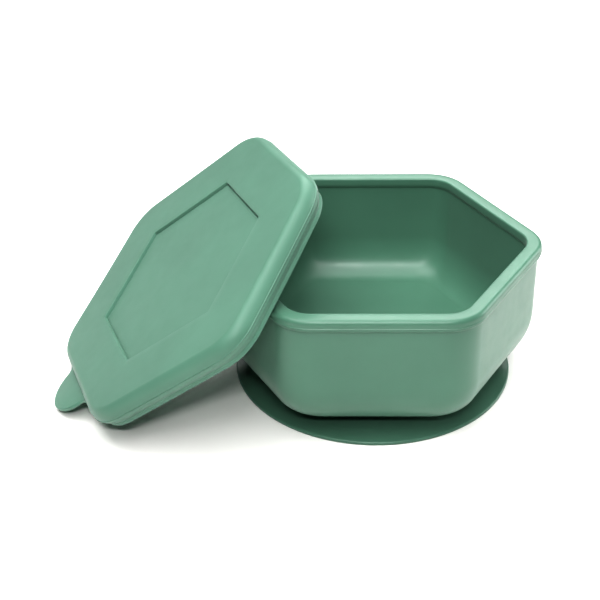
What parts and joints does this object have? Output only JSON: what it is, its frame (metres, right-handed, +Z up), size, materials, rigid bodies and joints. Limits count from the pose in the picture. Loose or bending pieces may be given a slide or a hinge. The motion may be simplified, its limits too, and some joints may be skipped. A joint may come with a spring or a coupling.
{
  "type": "suction bowl",
  "caption": "Hexagonal silicone feeding bowl on a round suction base, with its press-on hexagonal lid and pull tab leaning on the rim.",
  "frame": {"origin": "the bowl's upright axis at table level, the centre of the suction disc's sealing ring", "axes": "+Z up; +X from the axis to the rim corner opposite the leaning lid, so the lid leans on the -X corner; the camera side is -Y"},
  "size_m": [0.2049, 0.1394, 0.0979],
  "materials": {
    "bowl_silicone": "satin moulded silicone, glossier on the rim band",
    "base_silicone": "smooth satin moulded silicone",
    "lid_silicone": "matte satin moulded silicone"
  },
  "bodies": {
    "base": {"suction_disc": "base_silicone"},
    "bowl": {"suction_stem": "bowl_silicone", "bowl_shell": "bowl_silicone"},
    "lid": {"lid": "lid_silicone"},
    "tab": {"pull_tab": "lid_silicone"}
  },
  "joints": [
    {"name": "bowl_press", "type": "slide", "parent": "base", "child": "bowl", "axis": [0, 0, -1], "range_m": [0, 0.0024], "stiffness_N_per_m": 6000, "springref_m": -0.0006, "deforming": ["suction_disc"]},
    {"name": "lid_lift", "type": "slide", "parent": "base", "child": "lid", "axis": [0, 0, 1], "range_m": [0, 0.12]},
    {"name": "tab_flex", "type": "hinge", "parent": "lid", "child": "tab", "pos_m": [-0.12427, -0.03095, 0.00961], "axis": [-0.3432, 0.9293, -0.1366], "range_deg": [0, 60], "stiffness_Nm_per_rad": 0.02, "springref_deg": -5.73}
  ]
}
